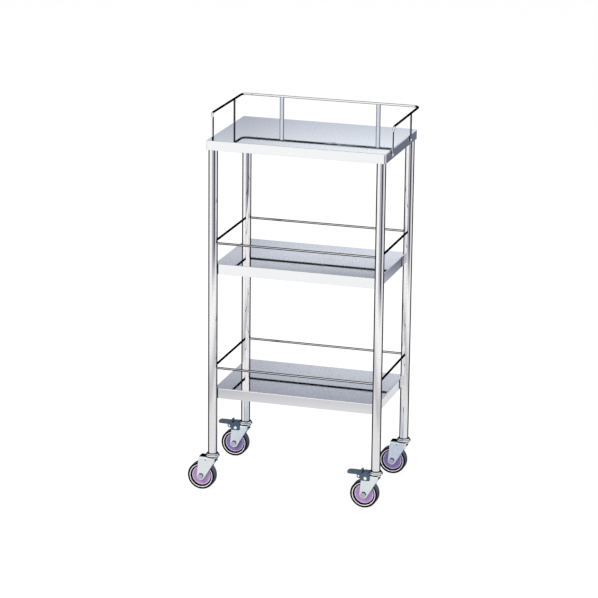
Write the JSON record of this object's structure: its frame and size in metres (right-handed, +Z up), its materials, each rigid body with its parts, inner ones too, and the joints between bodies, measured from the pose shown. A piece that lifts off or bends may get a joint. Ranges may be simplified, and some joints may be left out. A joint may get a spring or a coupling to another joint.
{
  "type": "ward round trolley",
  "caption": "Narrow steel trolley on tube legs: flat railed work top, two railed shelves and swivel casters, some with a foot brake.",
  "frame": {"origin": "on the floor, under the centre of the trolley's overall box with its casters trailing to -X", "axes": "+Z up, +X to the right along the long side, +Y to the rear, where the top guard is closed"},
  "size_m": [0.5478, 0.328, 1.0171],
  "materials": {
    "polished_sheet": "stainless sheet, polished nearly to a mirror",
    "polished_tube": "stainless tube and rod, polished",
    "bright_zinc": "pressed steel, bright zinc plated, satin",
    "tread_rubber": "charcoal grey rubber, matt",
    "violet_moulding": "violet moulding, semi gloss",
    "black_moulding": "black moulding with a blue cast, satin"
  },
  "bodies": {
    "frame": {"top_board": "polished_sheet", "middle_shelf": "polished_sheet", "bottom_shelf": "polished_sheet", "leg_front_left": "polished_tube", "leg_front_right": "polished_tube", "leg_rear_left": "polished_tube", "leg_rear_right": "polished_tube", "top_rail": "polished_tube", "rail_post_left_rear": "polished_tube", "rail_post_rear_left": "polished_tube", "rail_post_rear_right": "polished_tube", "rail_post_right_rear": "polished_tube", "post_rivet_left_front": "polished_tube", "post_rivet_left_rear": "polished_tube", "post_rivet_rear_left": "polished_tube", "post_rivet_rear_right": "polished_tube", "post_rivet_right_rear": "polished_tube", "post_rivet_right_front": "polished_tube", "middle_rail_front": "polished_tube", "middle_rail_rear": "polished_tube", "middle_rail_left": "polished_tube", "middle_rail_right": "polished_tube", "bottom_rail_front": "polished_tube", "bottom_rail_rear": "polished_tube", "bottom_rail_left": "polished_tube", "bottom_rail_right": "polished_tube", "leg_bush_front_left": "bright_zinc", "leg_bush_front_right": "bright_zinc", "leg_bush_rear_left": "bright_zinc", "leg_bush_rear_right": "bright_zinc", "swivel_head_front_left": "bright_zinc", "swivel_head_front_right": "bright_zinc", "swivel_head_rear_left": "bright_zinc", "swivel_head_rear_right": "bright_zinc"},
    "caster_front_left": {"fork_front_left": "bright_zinc", "axle_bolt_front_left": "bright_zinc", "axle_nut_front_left": "bright_zinc"},
    "wheel_front_left": {"tyre_front_left": "tread_rubber", "hub_front_left": "violet_moulding"},
    "caster_front_right": {"fork_front_right": "bright_zinc", "axle_bolt_front_right": "bright_zinc", "axle_nut_front_right": "bright_zinc", "brake_cover_front_right": "black_moulding", "brake_pin_front_right": "bright_zinc"},
    "wheel_front_right": {"tyre_front_right": "tread_rubber", "hub_front_right": "violet_moulding"},
    "pedal_front_right": {"brake_pedal_front_right": "black_moulding"},
    "caster_rear_left": {"fork_rear_left": "bright_zinc", "axle_bolt_rear_left": "bright_zinc", "axle_nut_rear_left": "bright_zinc", "brake_cover_rear_left": "black_moulding", "brake_pin_rear_left": "bright_zinc"},
    "wheel_rear_left": {"tyre_rear_left": "tread_rubber", "hub_rear_left": "violet_moulding"},
    "pedal_rear_left": {"brake_pedal_rear_left": "black_moulding"},
    "caster_rear_right": {"fork_rear_right": "bright_zinc", "axle_bolt_rear_right": "bright_zinc", "axle_nut_rear_right": "bright_zinc"},
    "wheel_rear_right": {"tyre_rear_right": "tread_rubber", "hub_rear_right": "violet_moulding"}
  },
  "joints": [
    {"name": "swivel_front_left", "type": "hinge", "parent": "frame", "child": "caster_front_left", "pos_m": [-0.1974, -0.14235, 0.09], "axis": [0, 0, 1], "continuous": true},
    {"name": "roll_front_left", "type": "hinge", "parent": "caster_front_left", "child": "wheel_front_left", "pos_m": [-0.226, -0.14235, 0.0375], "axis": [0, 1, 0], "continuous": true},
    {"name": "swivel_front_right", "type": "hinge", "parent": "frame", "child": "caster_front_right", "pos_m": [0.2526, -0.14235, 0.09], "axis": [0, 0, 1], "continuous": true},
    {"name": "roll_front_right", "type": "hinge", "parent": "caster_front_right", "child": "wheel_front_right", "pos_m": [0.224, -0.14235, 0.0375], "axis": [0, 1, 0], "continuous": true},
    {"name": "brake_front_right", "type": "hinge", "parent": "caster_front_right", "child": "pedal_front_right", "pos_m": [0.2292, -0.14235, 0.0838], "axis": [0, -1, 0], "range_deg": [0, 16]},
    {"name": "swivel_rear_left", "type": "hinge", "parent": "frame", "child": "caster_rear_left", "pos_m": [-0.1974, 0.13965, 0.09], "axis": [0, 0, 1], "continuous": true},
    {"name": "roll_rear_left", "type": "hinge", "parent": "caster_rear_left", "child": "wheel_rear_left", "pos_m": [-0.226, 0.13965, 0.0375], "axis": [0, 1, 0], "continuous": true},
    {"name": "brake_rear_left", "type": "hinge", "parent": "caster_rear_left", "child": "pedal_rear_left", "pos_m": [-0.2208, 0.13965, 0.0838], "axis": [0, -1, 0], "range_deg": [0, 16]},
    {"name": "swivel_rear_right", "type": "hinge", "parent": "frame", "child": "caster_rear_right", "pos_m": [0.2526, 0.13965, 0.09], "axis": [0, 0, 1], "continuous": true},
    {"name": "roll_rear_right", "type": "hinge", "parent": "caster_rear_right", "child": "wheel_rear_right", "pos_m": [0.224, 0.13965, 0.0375], "axis": [0, 1, 0], "continuous": true}
  ]
}
